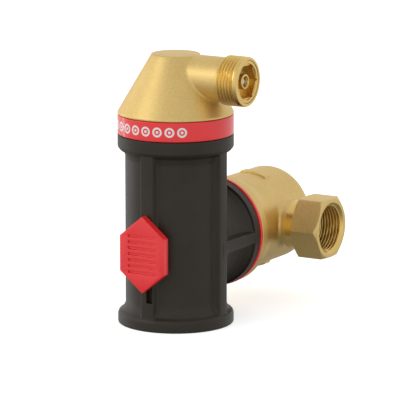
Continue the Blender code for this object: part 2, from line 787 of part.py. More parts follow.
def build_lever(turntable):
    """Bell crank: its short arm carries the seat disc, its long arm hangs on the float. It is drawn
    closed about the pivot, then turned back by its swing to the open position."""
    crank = bpy.data.objects.new("lever_pivot", None)
    parts.objects.link(crank)
    crank.location = Vector((PIVOT_X, HOUSING_Y, upright(PIVOT_Z))) * MM
    crank.rotation_euler = (0, -LEVER_SWING, 0)
    tilt = LEVER_SWING / 2
    hub = place(rod_object("valve_lever", 2.2, 8.4, steps=24), parts, along="Y")
    upper = helper(block_object("short_arm", (1.3, 5.6, 8.4)), x=-0.6, z=5.0)
    lower = helper(
        block_object("long_arm", (LEVER_ARM, 2.8, 1.8)),
        x=-LEVER_ARM / 2 * math.cos(tilt),
        z=LEVER_ARM / 2 * math.sin(tilt),
    )
    lower.rotation_euler = (0, tilt, 0)
    eye_x, eye_z = -LEVER_ARM * math.cos(tilt), LEVER_ARM * math.sin(tilt)
    eye = helper(rod_object("eye", 2.1, 2.8, steps=20), x=eye_x, z=eye_z, along="Y")
    link_hole = helper(rod_object("link_hole", 1.15, 8.0, steps=16), x=eye_x, z=eye_z, along="Y")
    pivot_hole = helper(rod_object("pivot_hole", 0.9 + GAP, 12.0, steps=16), along="Y")
    for tool in (upper, lower, eye):
        join(hub, tool)
    for tool in (link_hole, pivot_hole):
        cut(hub, tool)
    own_finish(hub, (0.7, 0.7, 0.66), 0.4, 0.0)
    disc_thickness = 1.3
    disc_x = SEAT_X - PIVOT_X - GAP - disc_thickness / 2
    disc = place(
        rod_object("seat_disc", 2.5, disc_thickness, steps=20),
        parts,
        x=disc_x,
        z=OUTLET_Z - PIVOT_Z,
        along="X",
    )
    dark_rubber(disc)
    for obj in (hub, disc, upper, lower, eye, link_hole, pivot_hole):
        obj.parent = crank
    crank.parent = turntable


def build_float(turntable):
    """An open-bottomed bell that traps air, with two ears for the lever's link pin."""
    slide = bpy.data.objects.new("float_slide", None)
    parts.objects.link(slide)
    slide.location = Vector((0, HOUSING_Y, BASE_Z)) * MM
    wall = 1.2
    outer = [(0, FLOAT_TOP), (FLOAT_R - 3, FLOAT_TOP), (FLOAT_R, FLOAT_TOP - 3), (FLOAT_R, FLOAT_BOTTOM)]
    inner = [(FLOAT_R - wall, FLOAT_BOTTOM), (FLOAT_R - wall, FLOAT_TOP - 3.5)]
    inner += [(FLOAT_R - 3.5, FLOAT_TOP - wall), (0, FLOAT_TOP - wall)]
    bell = place(turned_object("float", outer + inner, steps=32), parts)
    pin_z = PIVOT_Z - LEVER_ARM * math.sin(LEVER_SWING / 2)
    pin_x = PIVOT_X - LEVER_ARM * math.cos(LEVER_SWING / 2)
    ear_top = pin_z + 1.9
    ear_height = ear_top - FLOAT_TOP + 0.6
    for side in (1, -1):
        ear = block_object("ear", (3.4, 1.2, ear_height))
        join(bell, helper(ear, x=pin_x, y=side * 2.4, z=ear_top - ear_height / 2))
    eye = rod_object("ear_hole", 0.7 + GAP, 10.0, steps=16)
    cut(bell, helper(eye, x=pin_x, z=pin_z, along="Y"))
    own_finish(bell, (0.8, 0.8, 0.78), 0.4, 0.0)
    pin = place(rod_object("link_pin", 0.7, 7.0, steps=16), parts, x=pin_x, z=pin_z, along="Y")
    bright_steel(pin)
    slide.parent = turntable
    for obj in (bell, pin, *[m.object for m in bell.modifiers if m.type == "BOOLEAN"]):
        obj.parent = slide


def build_float_guide(turntable):
    """Cage in the cap's neck that keeps the float upright and carries it when it is down."""
    outer_r = GUIDE_BORE_R + 1.2
    profile = [(11.0, 92.0), (11.0, 93.6), (GUIDE_BORE_R, 93.6), (GUIDE_BORE_R, 112.0), (outer_r, 112.0)]
    profile += [(outer_r, 100.4), (CAP_NECK_BORE_R - GAP, 100.4), (CAP_NECK_BORE_R - GAP, 98.8)]
    profile += [(outer_r, 98.8), (outer_r, 92.0)]
    guide = place(
        turned_object("float_guide", profile, ring=True, steps=28), parts, y=HOUSING_Y, z=BASE_Z
    )
    for i in range(6):
        angle = math.radians(60 * i + 4.5)
        window = rod_object("flange_window", 1.7, 6.0, steps=12)
        x, y = 18.3 * math.cos(angle), HOUSING_Y + 18.3 * math.sin(angle)
        cut(guide, helper(window, x=x, y=y, z=upright(99.6)))
    for i in range(3):
        opening = block_object("side_window", (40.0, 5.0, 7.0))
        helper(opening, y=HOUSING_Y, z=upright(106.0))
        opening.rotation_euler = (0, 0, math.radians(30 + 60 * i))
        cut(guide, opening)
    pale_plastic(guide)
    guide.parent = turntable


def axis_empty(name, **where):
    empty = bpy.data.objects.new(name, None)
    place(empty, parts, **where)
    return empty


def settle(child, parent):
    """Parents child without moving it."""
    child.matrix_parent_inverse = parent.matrix_world.inverted()


def main():
    global parts, cutters
    clear_scene()
    parts = add_collection("automatic_air_vent")
    cutters = add_collection("cutters")
    pivot = axis_empty("housing_pivot")
    turntable = axis_empty("cap_turntable")
    build_tee()
    build_flow_guide()
    build_swivel_ring()
    build_retaining_ring()
    build_housing(pivot)
    build_trim_band(pivot)
    build_front_clip(pivot)
    build_swivel_seals(pivot)
    build_separator(pivot)
    build_cap(turntable)
    build_valve_insert(turntable)
    build_check_valve(turntable)
    build_lever_bracket(turntable)
    build_lever(turntable)
    build_float(turntable)
    build_float_guide(turntable)
    turntable.parent = pivot


main()
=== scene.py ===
import math

import bmesh
import bpy
import numpy as np
from mathutils import Matrix, Vector
from mathutils.bvhtree import BVHTree


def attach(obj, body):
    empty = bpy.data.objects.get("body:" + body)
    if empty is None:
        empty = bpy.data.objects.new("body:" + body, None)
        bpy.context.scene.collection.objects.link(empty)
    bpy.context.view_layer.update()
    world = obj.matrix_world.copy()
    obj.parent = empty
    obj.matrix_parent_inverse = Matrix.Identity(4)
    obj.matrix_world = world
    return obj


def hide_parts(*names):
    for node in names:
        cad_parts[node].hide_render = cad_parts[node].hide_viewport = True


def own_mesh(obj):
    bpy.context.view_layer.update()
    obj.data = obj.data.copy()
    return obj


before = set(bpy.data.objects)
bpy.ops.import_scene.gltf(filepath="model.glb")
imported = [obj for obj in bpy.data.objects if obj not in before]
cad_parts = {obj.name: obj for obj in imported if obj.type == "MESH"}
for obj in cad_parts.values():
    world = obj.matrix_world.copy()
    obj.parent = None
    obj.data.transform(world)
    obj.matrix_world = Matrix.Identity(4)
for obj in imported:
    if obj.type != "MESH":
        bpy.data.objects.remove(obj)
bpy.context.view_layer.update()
mm = 0.001
smallestEdge = 0.0005

# where things stand, in millimetres, with z counted from the housing's foot
place = {
    "housingY": -77.2,
    "footZ": -41.9,
    "outletHeight": 132.3,
}


def atHeight(height):
    return place["footZ"] + height


# expressions on node sockets, for materials and for geometry alike

class Field:
    def __init__(self, tree, socket):
        self.tree = tree
        self.socket = socket

    def math(self, operation, *others):
        return self.tree.add("ShaderNodeMath", {"operation": operation}, [self, *others])

    def __add__(self, other):
        return self.math("ADD", other)

    def __radd__(self, other):
        return self.math("ADD", other)

    def __sub__(self, other):
        return self.math("SUBTRACT", other)

    def __rsub__(self, other):
        return self.tree.add("ShaderNodeMath", {"operation": "SUBTRACT"}, [other, self])

    def __mul__(self, other):
        return self.math("MULTIPLY", other)

    def __rmul__(self, other):
        return self.math("MULTIPLY", other)

    def __truediv__(self, other):
        return self.math("DIVIDE", other)

    def __rtruediv__(self, other):
        return self.tree.add("ShaderNodeMath", {"operation": "DIVIDE"}, [other, self])

    def __pow__(self, other):
        return self.math("POWER", other)


class Tree:
    def __init__(self, nodeTree):
        self.nodeTree = nodeTree

    def add(self, kind, settings=None, sockets=None, output=0):
        node = self.nodeTree.nodes.new(kind)
        for key, value in (settings or {}).items():
            if key == "ramp":  # colour ramp stops as (position, colour)
                ramp = node.color_ramp
                while len(ramp.elements) < len(value):
                    ramp.elements.new(0.5)
                for stop, (position, colour) in zip(ramp.elements, value):
                    stop.position = position
                    stop.color = (*colour, 1.0)
            elif key == "curve":  # float curve points
                curve = node.mapping.curves[0]
                curve.points[0].location = value[0]
                curve.points[1].location = value[-1]
                for point in value[1:-1]:
                    curve.points.new(*point)
                node.mapping.update()
            else:
                setattr(node, key, value)
        pairs = sockets.items() if isinstance(sockets, dict) else enumerate(sockets or [])
        for key, value in pairs:
            if isinstance(value, Field):
                self.nodeTree.links.new(value.socket, node.inputs[key])
            elif value is not None:
                node.inputs[key].default_value = value
        return Field(self, node.outputs[output])


# solid shapes, built in millimetres

def roundCorners(corners, step):
    # corners are (radius, along) or (radius, along, rounding); long edges are split to the step
    path = []
    last = len(corners) - 1
    for i, corner in enumerate(corners):
        here = np.array(corner[:2], float)
        if i in (0, last) or len(corner) < 3 or corner[2] <= 0:
            path.append(here)
            continue
        before = np.array(corners[i - 1][:2], float) - here
        after = np.array(corners[i + 1][:2], float) - here
        lengthA, lengthB = np.linalg.norm(before), np.linalg.norm(after)
        before, after = before / lengthA, after / lengthB
        half = math.acos(max(-1.0, min(1.0, float(before @ after)))) / 2
        reach = min(corner[2] / math.tan(half), 0.48 * lengthA, 0.48 * lengthB)
        radius = reach * math.tan(half)
        bisector = (before + after) / np.linalg.norm(before + after)
        centre = here + bisector * radius / math.sin(half)
        start, end = here + before * reach - centre, here + after * reach - centre
        turn = math.pi - 2 * half
        count = max(2, int(math.ceil(turn / math.radians(15))))
        for j in range(count + 1):
            t = j / count
            point = start * math.sin((1 - t) * turn) + end * math.sin(t * turn)
            path.append(centre + point / math.sin(turn))
    fine = [path[0]]
    for here, there in zip(path, path[1:]):
        gap = np.linalg.norm(there - here)
        if gap < 1e-6:
            continue
        count = max(1, int(math.ceil(gap / step)))
        fine += [here + (there - here) * (k / count) for k in range(1, count + 1)]
    return np.array(fine)


def evenColumns(count):
    return [2 * math.pi * i / count for i in range(count)]


def ribColumns(ribCount, fineHalf=13.0, fineStep=0.6, coarseStep=2.8):
    # columns crowd around each rib's sides; angles in degrees
    spacing = 360 / ribCount
    half = spacing / 2
    fine = np.arange(-fineHalf, fineHalf + 0.01, fineStep)
    count = int(round((half - fineHalf) / coarseStep))
    side = fineHalf + (half - fineHalf) * np.arange(1, count + 1) / count
    offsets = np.concatenate([-side[::-1][1:], fine, side])
    return [math.radians(i * spacing + a) for i in range(ribCount) for a in offsets]


def turned(name, corners, columns=128, step=1.5, ring=False):
    # a lathe-turned solid about its own Z, in millimetres
    loop = corners + [corners[0]] if ring else corners
    path = roundCorners(loop, step)
    if ring:
        path = path[:-1]
    angles = evenColumns(columns) if isinstance(columns, int) else columns
    shape = bmesh.new()
    rows = []
    for radius, along in path:
        if radius < 1e-6:
            rows.append([shape.verts.new((0, 0, along * mm))] * len(angles))
        else:
            points = [(radius * math.cos(a) * mm, radius * math.sin(a) * mm, along * mm) for a in angles]
            rows.append([shape.verts.new(point) for point in points])
    pairs = list(zip(rows, rows[1:]))
    if ring:
        pairs.append((rows[-1], rows[0]))
    count = len(angles)
    for lower, upper in pairs:
        for i in range(count):
            corner = [lower[i], lower[(i + 1) % count], upper[(i + 1) % count], upper[i]]
            unique = list(dict.fromkeys(corner))
            if len(unique) > 2:
                shape.faces.new(unique)
    bmesh.ops.recalc_face_normals(shape, faces=shape.faces)
    return objectFrom(name, shape)


def objectFrom(name, shape):
    mesh = bpy.data.meshes.new(name)
    shape.to_mesh(mesh)
    shape.free()
    made = bpy.data.objects.new(name, mesh)
    bpy.context.scene.collection.objects.link(made)
    return made


def block(name, size, centre):
    shape = bmesh.new()
    bmesh.ops.create_cube(shape, size=1.0)
    matrix = Matrix.Translation(Vector(centre) * mm) @ Matrix.Diagonal((*[s * mm for s in size], 1))
    bmesh.ops.transform(shape, matrix=matrix, verts=shape.verts)
    return objectFrom(name, shape)


def prism(name, sides, flats, low, high):
    # corners at the local Y axis ends
    shape = bmesh.new()
    corner = flats / 2 / math.cos(math.pi / sides) * mm
    bmesh.ops.create_cone(shape, cap_ends=True, segments=sides, radius1=corner, radius2=corner,
                          depth=(high - low) * mm)
    bmesh.ops.translate(shape, vec=(0, 0, (low + high) / 2 * mm), verts=shape.verts)
    return objectFrom(name, shape)


def lay(obj, along="Z", x=0.0, y=0.0, z=0.0):
    # turns a solid's own Z to an axis and moves it, in its mesh
    turn = {"X": Matrix.Rotation(math.pi / 2, 4, "Y"), "Y": Matrix.Rotation(-math.pi / 2, 4, "X"),
            "Z": Matrix.Identity(4), "-X": Matrix.Rotation(-math.pi / 2, 4, "Y")}[along]
    obj.data.transform(Matrix.Translation(Vector((x, y, z)) * mm) @ turn)
    return obj


def bake(obj):
    # the evaluated mesh becomes the object's own, and its modifiers go
    graph = bpy.context.evaluated_depsgraph_get()
    mesh = bpy.data.meshes.new_from_object(obj.evaluated_get(graph))
    obj.modifiers.clear()
    obj.data = mesh
    return obj


def merge(target, operation, *tools):
    for tool in tools:
        step = target.modifiers.new(operation, "BOOLEAN")
        step.operation = operation
        step.object = tool
        step.solver = "MANIFOLD"
        bake(target)
        bpy.data.objects.remove(tool)
    return target


def signedDistance(tree, point):
    spot, normal, _, distance = tree.find_nearest(point)
    outward = (point - spot).dot(normal) >= 0
    away = (point - spot).normalized() if distance > 1e-7 else normal
    return (distance, away) if outward else (-distance, -away)


def fuse(body, branch, blend):
    # joins two solids and runs a smooth fillet along the line where they meet
    trees = []
    for obj in (body, branch):
        shape = bmesh.new()
        shape.from_mesh(obj.data)
        bmesh.ops.triangulate(shape, faces=shape.faces)
        trees.append(BVHTree.FromBMesh(shape))
        shape.free()
    merge(body, "UNION", branch)
    reach = blend * mm
    shape = bmesh.new()
    shape.from_mesh(body.data)
    for vert in shape.verts:
        if max(abs(signedDistance(t, vert.co)[0]) for t in trees) > reach:
            continue
        point = vert.co.copy()
        for _ in range(5):
            (a, normalA), (b, normalB) = (signedDistance(t, point) for t in trees)
            share = max(0.0, min(1.0, 0.5 + 0.5 * (b - a) / reach))
            value = b + (a - b) * share - reach * share * (1 - share)
            slope = normalA * share + normalB * (1 - share)
            size = slope.length_squared
            if size < 0.05 or abs(value) < 1e-7:
                break
            point -= slope * (value / size)
        vert.co = point
    shape.to_mesh(body.data)
    shape.free()
    return body


def smoothShade(obj, angle=32.0):
    mesh = obj.data
    mesh.shade_smooth()
    mesh.set_sharp_from_angle(angle=math.radians(angle))
    return obj


def finishPiece(obj, body, slot, material, *nodes, angle=32.0):
    shape = bmesh.new()
    shape.from_mesh(obj.data)
    bmesh.ops.dissolve_degenerate(shape, edges=shape.edges, dist=smallestEdge * mm)
    shape.to_mesh(obj.data)
    shape.free()
    obj.data.materials.clear()
    obj.data.materials.append(material)
    smoothShade(obj, angle)
    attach(obj, body)
    if nodes:
        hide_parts(*nodes)
    return obj


# rules that shape a turned solid, as geometry nodes

def ruleTree(name, inputs, rule):
    # rule(tree, radius, angle, along, sizes) gives the new radius of each point
    group = bpy.data.node_groups.new(name, "GeometryNodeTree")
    face = group.interface
    face.new_socket("Geometry", in_out="OUTPUT", socket_type="NodeSocketGeometry")
    face.new_socket("Geometry", in_out="INPUT", socket_type="NodeSocketGeometry")
    for label, value in inputs.items():
        face.new_socket(label, in_out="INPUT", socket_type="NodeSocketFloat").default_value = value
    tree = Tree(group)
    source = group.nodes.new("NodeGroupInput")
    sink = group.nodes.new("NodeGroupOutput")
    sizes = {label: Field(tree, source.outputs[label]) for label in inputs}
    position = tree.add("GeometryNodeInputPosition")
    split = tree.add("ShaderNodeSeparateXYZ", None, [position]).socket.node
    x, y, z = (Field(tree, split.outputs[i]) for i in range(3))
    radius = (x * x + y * y) ** 0.5 * 1000.0
    angle = y.math("ARCTAN2", x)
    wanted = rule(tree, radius, angle, z * 1000.0, sizes)
    scale = wanted / radius.math("MAXIMUM", 0.001)
    placed = tree.add("ShaderNodeCombineXYZ", None, [x * scale, y * scale, z])
    moved = tree.add("GeometryNodeSetPosition", None,
                     {"Geometry": Field(tree, source.outputs["Geometry"]), "Position": placed})
    real = tree.add("GeometryNodeRealizeInstances", None, [moved])
    skin = tree.add("GeometryNodeSetMaterial", None, [real])
    group.links.new(skin.socket, sink.inputs[0])
    return group


def applyNodes(obj, group, values):
    step = obj.modifiers.new(group.name, "NODES")
    step.node_group = group
    for item in group.interface.items_tree:
        if item.in_out == "INPUT" and item.name in values:
            step[item.identifier] = values[item.name]
    return bake(obj)


def applyRule(obj, group, material, **sizes):
    for node in group.nodes:
        if node.bl_idname == "GeometryNodeSetMaterial":
            node.inputs["Material"].default_value = material
    return applyNodes(obj, group, {label: float(size) for label, size in sizes.items()})


def foldedAngle(angle, spacing):
    # distance in angle from the nearest of evenly spaced centres, one of them at zero
    return (angle + math.pi * 8).math("PINGPONG", spacing / 2)


def ribRule(tree, radius, angle, along, sizes):
    spacing = 2 * math.pi / 4
    across = foldedAngle(angle, spacing) * radius / sizes["Half Width"]
    section = [(0, 1), (0.5, 1), (0.565, 0.965), (0.6, 0.86), (0.645, 0.6),
               (0.7, 0.33), (0.78, 0.12), (0.88, 0.03), (1, 0)]
    height = tree.add("ShaderNodeFloatCurve", {"curve": section}, [1.0, across])
    lift = (sizes["Rib Radius"] - radius).math("MAXIMUM", 0.0)
    inside = radius.math("GREATER_THAN", sizes["Inner Radius"])
    return radius + lift * height * inside


def flatsRule(tree, radius, angle, along, sizes):
    sharpness = 160.0
    fold = foldedAngle(angle, math.pi / 3)
    near = fold.math("COSINE") ** sharpness
    far = (math.pi / 3 - fold).math("COSINE") ** sharpness
    wall = sizes["Flats"] * 0.5 / (near + far) ** (1 / sharpness)
    return tree.add("ShaderNodeMath", {"operation": "SMOOTH_MIN"}, [radius, wall, 0.12])


def threadRule(tree, radius, angle, along, sizes):
    turns = along / sizes["Pitch"] + angle / (2 * math.pi)
    wave = 0.5 - (turns * (2 * math.pi)).math("COSINE") * 0.5
    fadeIn = ((along - sizes["Start"]) / sizes["Run In"]).math("MINIMUM", 1.0).math("MAXIMUM", 0.0)
    fadeOut = ((sizes["End"] - along) / sizes["Run Out"]).math("MINIMUM", 1.0).math("MAXIMUM", 0.0)
    onWall = radius.math("GREATER_THAN", sizes["Inner Radius"])
    return radius + wave * sizes["Depth"] * fadeIn * fadeOut * onWall


ribs = ruleTree("four ribs", {"Rib Radius": 29.55, "Half Width": 5.4, "Inner Radius": 20.0}, ribRule)
flats = ruleTree("six flats", {"Flats": 32.0}, flatsRule)
screwThread = ruleTree("pipe thread", {
    "Pitch": 1.814, "Depth": 1.16, "Start": 0.0, "End": 10.0, "Run In": 1.0, "Run Out": 1.0,
    "Inner Radius": 11.0,
}, threadRule)
print("rules ready")


# finishes for the pieces

def newMaterial(name):
    material = bpy.data.materials.new(name)
    material.use_nodes = True
    tree = Tree(material.node_tree)
    shader = material.node_tree.nodes["Principled BSDF"]
    return material, tree, shader


def link(tree, field, shader, label):
    tree.nodeTree.links.new(field.socket, shader.inputs[label])


def objectSpace(tree):
    return tree.add("ShaderNodeTexCoord", None, None, output=3)


def noise(tree, where, scale, detail=3.0, rough=0.5, output=0):
    return tree.add("ShaderNodeTexNoise", None,
                    {"Vector": where, "Scale": scale, "Detail": detail, "Roughness": rough}, output=output)


def mixColour(tree, factor, a, b):
    return tree.add("ShaderNodeMix", {"data_type": "RGBA"}, {0: factor, 6: a, 7: b}, output=2)


def span(tree, value, low, high, newLow, newHigh):
    return tree.add("ShaderNodeMapRange", None, [value, low, high, newLow, newHigh])


def machinedArea(tree, where):
    # the outlet's end and the threaded port bores are machined bright
    split = tree.add("ShaderNodeSeparateXYZ", None, [where]).socket.node
    x, y, z = (Field(tree, split.outputs[i]) for i in range(3))
    outlet = x.math("GREATER_THAN", 0.0309) * z.math("GREATER_THAN", 0.07)
    fromAxis = (y * y + z * z) ** 0.5
    bores = x.math("ABSOLUTE").math("GREATER_THAN", 0.03) * (0.0142 - fromAxis).math("GREATER_THAN", 0.0)
    return outlet.math("MAXIMUM", bores)


def brass(name, light, dark, roughness, grain, grainScale, machined=False):
    material, tree, shader = newMaterial(name)
    where = objectSpace(tree)
    cloud = noise(tree, where, 45.0, 3.0, 0.6)
    fine = noise(tree, where, grainScale, 3.0, 0.6)
    speck = noise(tree, where, grainScale * 0.36, 2.0, 0.7)
    tone = span(tree, cloud * 0.35 + speck * 0.65, 0.36, 0.62, 0.0, 1.0)
    colour = mixColour(tree, tone, (*dark, 1), (*light, 1))
    rough = span(tree, fine * 0.4 + speck * 0.6, 0.3, 0.7, roughness - 0.07, roughness + 0.07)
    height = fine * 0.8 + speck * 0.35
    if machined:
        bright = machinedArea(tree, where)
        colour = mixColour(tree, bright, colour, (light[0], light[1] * 0.96, light[2] * 0.8, 1))
        rough = rough * (1.0 - bright * 0.38)
        height = height * (1.0 - bright * 0.8)
    link(tree, colour, shader, "Base Color")
    shader.inputs["Metallic"].default_value = 1.0
    link(tree, rough, shader, "Roughness")
    bump = tree.add("ShaderNodeBump", None, {"Strength": grain, "Distance": 0.00005, "Height": height})
    link(tree, bump, shader, "Normal")
    return material


castBrass = brass("blasted brass", (0.81, 0.595, 0.24), (0.71, 0.51, 0.19), 0.48, 0.5, 2600.0, machined=True)
turnedBrass = brass("turned brass", (0.80, 0.56, 0.2), (0.72, 0.49, 0.16), 0.27, 0.12, 3000.0)


def plastic(name, base, alt, roughness, grain, scale, coat=0.0, specular=0.5):
    material, tree, shader = newMaterial(name)
    where = objectSpace(tree)
    cloud = noise(tree, where, 60.0, 4.0, 0.6)
    fine = noise(tree, where, scale, 3.0, 0.6)
    link(tree, mixColour(tree, span(tree, cloud, 0.35, 0.65, 0.0, 1.0), (*base, 1), (*alt, 1)), shader,
        "Base Color")
    link(tree, span(tree, fine * 0.6 + cloud * 0.4, 0.3, 0.7, roughness - 0.05, roughness + 0.05), shader,
        "Roughness")
    bump = tree.add("ShaderNodeBump", None, {"Strength": grain, "Distance": 0.0001, "Height": fine})
    link(tree, bump, shader, "Normal")
    shader.inputs["Specular IOR Level"].default_value = specular
    shader.inputs["Coat Weight"].default_value = coat
    shader.inputs["Coat Roughness"].default_value = 0.08
    return material


blackPlastic = plastic("black glass-filled plastic", (0.0245, 0.0185, 0.0115), (0.0305, 0.0235, 0.015),
    0.46, 0.3, 1800.0, specular=0.34)
redPlastic = plastic("red gloss plastic", (0.95, 0.022, 0.026), (0.91, 0.017, 0.021), 0.36, 0.03, 900.0, 0.5)
palePlastic = plastic("natural plastic", (0.62, 0.6, 0.54), (0.56, 0.545, 0.49), 0.42, 0.15, 1200.0)
floatPlastic = plastic("white plastic", (0.82, 0.81, 0.78), (0.76, 0.75, 0.72), 0.36, 0.1, 1200.0)
sealRubber = plastic("seal rubber", (0.016, 0.016, 0.016), (0.024, 0.023, 0.022), 0.62, 0.3, 2500.0)


def steel(name):
    material, tree, shader = newMaterial(name)
    where = objectSpace(tree)
    drawn = tree.add("ShaderNodeMapping", None, {"Vector": where, "Scale": (4.0, 4.0, 0.4)})
    streak = noise(tree, drawn, 700.0, 2.0, 0.5)
    link(tree, mixColour(tree, streak, (0.5, 0.5, 0.49, 1), (0.66, 0.66, 0.64, 1)), shader, "Base Color")
    shader.inputs["Metallic"].default_value = 1.0
    link(tree, span(tree, streak, 0.3, 0.7, 0.2, 0.34), shader, "Roughness")
    bump = tree.add("ShaderNodeBump", None, {"Strength": 0.15, "Distance": 0.00005, "Height": streak})
    link(tree, bump, shader, "Normal")
    return material


springSteel = steel("stainless steel")
print("finishes ready")


# black housing: ribbed body, side barrel and spigot

housingSizes = {
    "wall": 26.35, "foot": 30.8, "flange": 30.7, "top": 101.5, "collar": 26.6, "collarTop": 111.7,
    "bore": 23.0, "floor": 4.0, "neckBore": 25.0, "neckSeat": 93.0,
    "barrel": 23.8, "rim": 29.5, "rimFront": 33.6, "rimBack": 38.9, "waterway": 17.5,
    "spigot": 21.6, "spigotEnd": 63.0, "slotWidth": 3.7, "slotLow": 15.2, "slotHigh": 46.0, "slotX": 1.5,
    "blend": 1.6,
}


def makeHousing():
    s = housingSizes
    shell = turned("housingShell", [
        (0, s["collarTop"]), (s["collar"], s["collarTop"], 0.3), (s["collar"], s["top"]),
        (s["flange"], s["top"], 0.35),
        (s["flange"], 94.9, 1.2), (29.3, 93.1, 1.6), (27.3, 92.2, 1.4), (s["wall"], 88.6, 3.0),
        (s["wall"], 11.2, 6.0),
        (28.2, 7.6, 2.0), (30.2, 6.3, 1.2), (s["foot"], 4.9, 1.2), (s["foot"], 0, 0.8), (0, 0)],
        ribColumns(4), 1.3)
    applyRule(shell, ribs, blackPlastic, **{"Rib Radius": 29.55, "Half Width": 5.9, "Inner Radius": 26.0})
    lay(shell, "Z", y=place["housingY"], z=place["footZ"])
    barrel = turned("barrel", [
        (0, s["rimBack"]), (s["rim"], s["rimBack"], 0.5), (s["rim"], s["rimFront"], 0.5),
        (28.2, s["rimFront"], 0.9),
        (26.0, 30.6, 3.0), (24.6, 26.6, 5.0), (s["barrel"], 21.0, 4.0), (s["barrel"], 0), (0, 0)],
        ribColumns(4), 1.1)
    applyRule(barrel, ribs, blackPlastic, **{"Rib Radius": 29.25, "Half Width": 4.6, "Inner Radius": 23.4})
    lay(barrel, "Y", y=place["housingY"])
    fuse(shell, barrel, s["blend"])
    groove = 2.6
    corners = [(0, s["spigotEnd"]), (s["spigot"] - 1.2, s["spigotEnd"]), (s["spigot"], s["spigotEnd"] - 1.6)]
    for y in (-20.5, -26.5):
        high, low = y - place["housingY"] + groove / 2, y - place["housingY"] - groove / 2
        corners += [(s["spigot"], high), (19.7, high), (19.7, low), (s["spigot"], low)]
    clip = -31.5 - place["housingY"]
    corners += [(s["spigot"], clip + 1.1), (20.7, clip + 1.1), (20.7, clip - 1.1), (s["spigot"], clip - 1.1)]
    spigot = lay(turned("spigot", corners + [(s["spigot"], 30.0), (0, 30.0)], 128, 6.0), "Y",
        y=place["housingY"])
    merge(shell, "UNION", spigot)
    bore = turned("bore", [
        (0, 120.0), (s["neckBore"], 120.0), (s["neckBore"], 99.4), (25.8, 99.4), (25.8, 97.4),
        (s["neckBore"], 97.4),
        (s["neckBore"], s["neckSeat"]), (s["bore"], s["neckSeat"]), (s["bore"], s["floor"], 2.0),
        (0, s["floor"])], 128, 40.0)
    lay(bore, "Z", y=place["housingY"], z=place["footZ"])
    way = turned("way", [(0, 70.0), (s["waterway"], 70.0), (s["waterway"], 0), (0, 0)], 96, 80.0)
    lay(way, "Y", y=place["housingY"])
    slot = block("slot", (s["slotWidth"], 6.0, s["slotHigh"] - s["slotLow"]),
                 (s["slotX"], place["housingY"] - s["wall"] - 3.2,
                     atHeight((s["slotHigh"] + s["slotLow"]) / 2)))
    merge(shell, "DIFFERENCE", bore, way, slot)
    return finishPiece(shell, "housing", "black_plastic", blackPlastic, "housing", angle=38.0)


makeHousing()
print("housing made")


# red band with its print, swivel ring and badge

printSizes = {"centreAngle": -1.67, "pitch": 13.2, "halfLength": 26.4, "height": 106.95, "bubble": 2.9,
    "line": 0.5, "core": 0.75}


def printedBand():
    # red gloss plastic with a printed row of pale bubbles
    s = printSizes
    material = redPlastic.copy()
    material.name = "printed red plastic"
    tree, shader = Tree(material.node_tree), material.node_tree.nodes["Principled BSDF"]
    split = tree.add("ShaderNodeSeparateXYZ", None, [objectSpace(tree)]).socket.node
    x, y, z = (Field(tree, split.outputs[i]) * 1000.0 for i in range(3))
    turn = (y - place["housingY"]).math("ARCTAN2", x)
    along = (turn - s["centreAngle"]) * 30.7
    across = along.math("PINGPONG", s["pitch"] / 2) - s["pitch"] / 4
    up = z - atHeight(s["height"])
    reach = (across * across + up * up) ** 0.5
    ring = s["line"] - (reach - s["bubble"] * 0.72).math("ABSOLUTE")
    core = s["core"] - reach
    edge = ring.math("MAXIMUM", core)
    mark = span(tree, edge, -0.06, 0.06, 0.0,
        1.0) * (s["halfLength"] - along.math("ABSOLUTE")).math("GREATER_THAN", 0.0)
    plain = Field(tree, shader.inputs["Base Color"].links[0].from_socket)
    link(tree, mixColour(tree, mark, plain, (0.86, 0.84, 0.82, 1)), shader, "Base Color")
    return material


def makeBand():
    band = turned("trimBandShell", [
        (26.9, 101.8, 0.2), (26.9, 112.1, 0.2), (30.7, 112.1, 0.45), (30.7, 101.8, 0.45)], 192, 2.0,
        ring=True)
    lay(band, "Z", y=place["housingY"], z=place["footZ"])
    finishPiece(band, "housing", "red_plastic", printedBand(), "trim_band")


def makeSwivelRing():
    ring = turned("swivelRingShell", [
        (22.0, 39.2), (30.0, 39.2, 0.45), (30.0, 41.1, 0.45), (22.0, 41.1)], 192, 3.0, ring=True)
    lay(ring, "Y", y=place["housingY"])
    finishPiece(ring, "tee", "red_plastic", redPlastic, "swivel_ring")


def gripLines():
    # a row of bars, used to carve the badge's grip lines
    group = bpy.data.node_groups.new("grip lines", "GeometryNodeTree")
    group.interface.new_socket("Geometry", in_out="OUTPUT", socket_type="NodeSocketGeometry")
    labels = {"Count": "NodeSocketInt", "First": "NodeSocketVector", "Step": "NodeSocketVector",
        "Bar Size": "NodeSocketVector",
              "Turn": "NodeSocketVector", "Material": "NodeSocketMaterial"}
    for label, kind in labels.items():
        group.interface.new_socket(label, in_out="INPUT", socket_type=kind)
    tree = Tree(group)
    source, sink = group.nodes.new("NodeGroupInput"), group.nodes.new("NodeGroupOutput")
    given = {label: Field(tree, source.outputs[label]) for label in labels}
    row = tree.add("GeometryNodeMeshLine", None,
        {"Count": given["Count"], "Start Location": given["First"], "Offset": given["Step"]})
    bar = tree.add("GeometryNodeMeshCube", None, {"Size": given["Bar Size"]})
    turn = tree.add("FunctionNodeEulerToRotation", None, [given["Turn"]])
    placed = tree.add("GeometryNodeInstanceOnPoints", None,
        {"Points": row, "Instance": bar, "Rotation": turn})
    real = tree.add("GeometryNodeRealizeInstances", None, [placed])
    skin = tree.add("GeometryNodeSetMaterial", None, {"Geometry": real, "Material": given["Material"]})
    group.links.new(skin.socket, sink.inputs[0])
    return group


